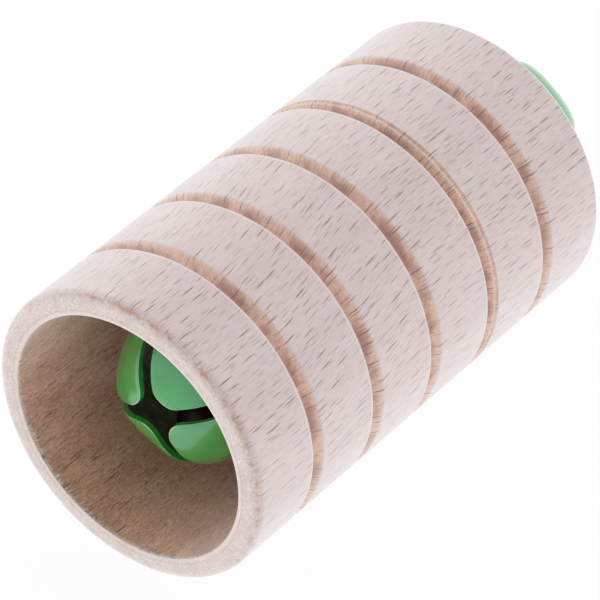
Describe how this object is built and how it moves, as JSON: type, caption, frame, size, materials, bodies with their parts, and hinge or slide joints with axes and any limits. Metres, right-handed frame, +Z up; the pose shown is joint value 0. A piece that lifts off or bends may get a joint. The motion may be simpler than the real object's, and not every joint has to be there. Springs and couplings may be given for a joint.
{
  "type": "guiro shaker",
  "caption": "Hand-held beech cylinder with scraping grooves round it and a green jingle bell in each bored end, carried on a sliding rod, to scrape and to shake.",
  "frame": {"origin": "under the middle of the shaker's overall box, on the surface that it lies on", "axes": "+Y along the shaker from its front end with the sunk bell to its rear end, +Z up"},
  "size_m": [0.057, 0.1208, 0.057],
  "materials": {
    "beech_body": "sanded, raw",
    "beech_rod": "sanded, raw",
    "green_enamel": "gloss enamel",
    "zinced_steel": "bright zinc",
    "dark_iron": "dull"
  },
  "bodies": {
    "guiro": {"guiro_body": "beech_body"},
    "rod": {"bell_rod": "beech_rod", "front_bell_screw": "zinced_steel", "rear_bell_screw": "zinced_steel", "front_inner_washer": "zinced_steel", "rear_inner_washer": "zinced_steel", "front_stop_washer": "zinced_steel", "rear_stop_washer": "zinced_steel"},
    "front_bell": {"front_bell": "green_enamel"},
    "rear_bell": {"rear_bell": "green_enamel"},
    "front_pellet": {"front_pellet": "dark_iron"},
    "rear_pellet": {"rear_pellet": "dark_iron"}
  },
  "joints": [
    {"name": "rod_slide", "type": "slide", "parent": "guiro", "child": "rod", "axis": [0, -1, 0], "range_m": [0, 0.0285]},
    {"name": "front_bell_spin", "type": "hinge", "parent": "rod", "child": "front_bell", "pos_m": [0, -0.0402, 0.0285], "axis": [0, 1, 0], "continuous": true},
    {"name": "rear_bell_spin", "type": "hinge", "parent": "rod", "child": "rear_bell", "pos_m": [0, 0.04785, 0.0285], "axis": [0, 1, 0], "continuous": true},
    {"name": "front_pellet_roll", "type": "hinge", "parent": "front_bell", "child": "front_pellet", "pos_m": [0, -0.0402, 0.0285], "axis": [0, 1, 0], "continuous": true},
    {"name": "rear_pellet_roll", "type": "hinge", "parent": "rear_bell", "child": "rear_pellet", "pos_m": [0, 0.04785, 0.0285], "axis": [0, 1, 0], "continuous": true}
  ]
}
